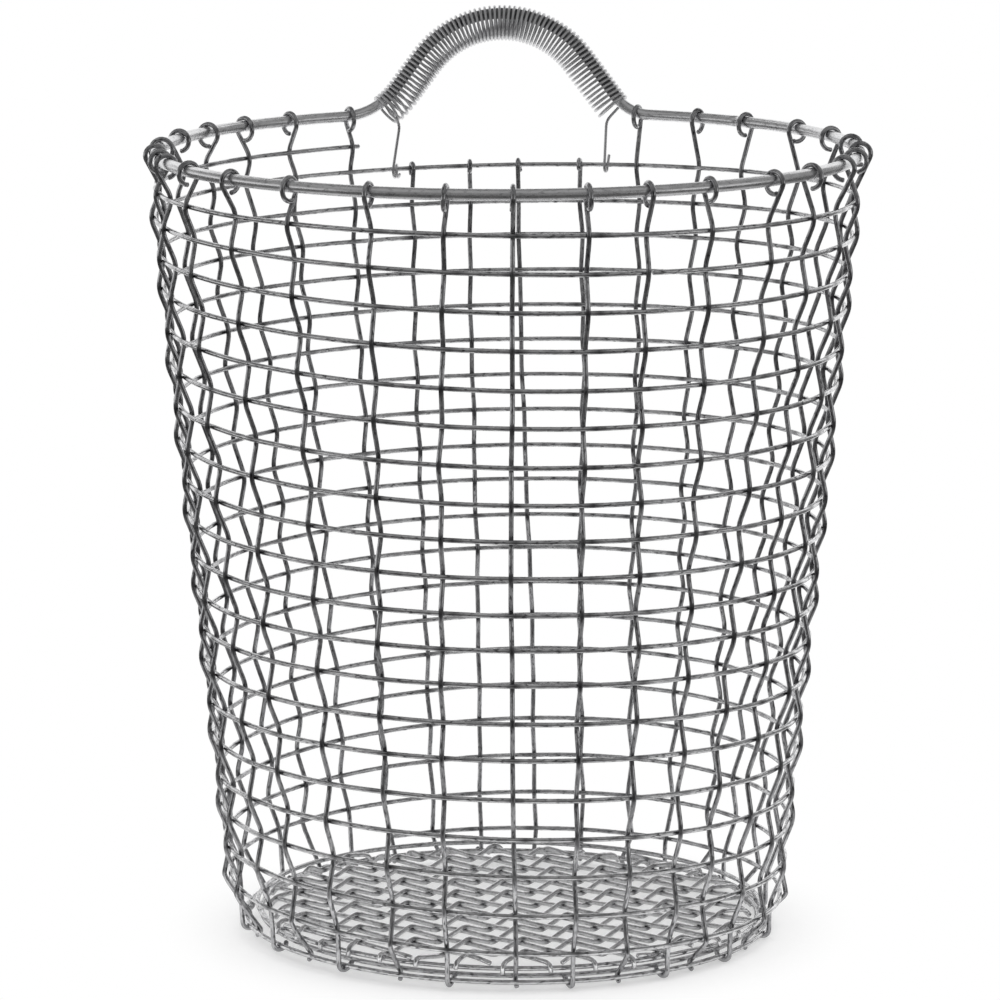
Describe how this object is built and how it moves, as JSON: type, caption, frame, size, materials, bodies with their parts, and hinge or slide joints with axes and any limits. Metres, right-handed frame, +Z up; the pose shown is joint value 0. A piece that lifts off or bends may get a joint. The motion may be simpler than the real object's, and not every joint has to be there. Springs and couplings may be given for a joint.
{
  "type": "woven wire basket",
  "caption": "Tapered round basket woven from steel wire, open at the top, with a wire arch at the back wrapped in a coil as its handle.",
  "frame": {"origin": "bottom centre: on the basket's axis, in the plane of the hooks it stands on", "axes": "+Z up along the basket's axis, -Y towards the front, +Y towards the handle, +X to the right seen from the front"},
  "size_m": [0.3102, 0.3119, 0.3897],
  "materials": {
    "mesh_wire": "drawn wire, satin",
    "rim_wire": "drawn wire, satin to bright",
    "coil_wire": "drawn wire, bright"
  },
  "bodies": {
    "root": {"base_ring": "mesh_wire", "base_wire_a_03": "mesh_wire", "base_wire_a_04": "mesh_wire", "base_wire_a_05": "mesh_wire", "base_wire_a_06": "mesh_wire", "base_wire_a_07": "mesh_wire", "base_wire_a_08": "mesh_wire", "base_wire_a_09": "mesh_wire", "base_wire_a_10": "mesh_wire", "base_wire_a_11": "mesh_wire", "base_wire_a_12": "mesh_wire", "base_wire_b_03": "mesh_wire", "base_wire_b_04": "mesh_wire", "base_wire_b_05": "mesh_wire", "base_wire_b_06": "mesh_wire", "base_wire_b_07": "mesh_wire", "base_wire_b_08": "mesh_wire", "base_wire_b_09": "mesh_wire", "base_wire_b_10": "mesh_wire", "base_wire_b_11": "mesh_wire", "base_wire_b_12": "mesh_wire", "foot_ring": "mesh_wire", "grip_coil": "coil_wire", "rim_and_handle": "rim_wire", "upright_01": "mesh_wire", "upright_02": "mesh_wire", "upright_03": "mesh_wire", "upright_04": "mesh_wire", "upright_05": "mesh_wire", "upright_06": "mesh_wire", "upright_07": "mesh_wire", "upright_08": "mesh_wire", "upright_09": "mesh_wire", "upright_10": "mesh_wire", "upright_11": "mesh_wire", "upright_12": "mesh_wire", "upright_13": "mesh_wire", "upright_14": "mesh_wire", "upright_15": "mesh_wire", "upright_16": "mesh_wire", "upright_17": "mesh_wire", "upright_18": "mesh_wire", "upright_19": "mesh_wire", "upright_20": "mesh_wire", "upright_21": "mesh_wire", "upright_22": "mesh_wire", "upright_23": "mesh_wire", "upright_24": "mesh_wire", "upright_25": "mesh_wire", "upright_26": "mesh_wire", "upright_27": "mesh_wire", "upright_28": "mesh_wire", "upright_29": "mesh_wire", "upright_30": "mesh_wire", "upright_31": "mesh_wire", "upright_32": "mesh_wire", "upright_33": "mesh_wire", "weaving_wire": "mesh_wire"}
  },
  "joints": []
}
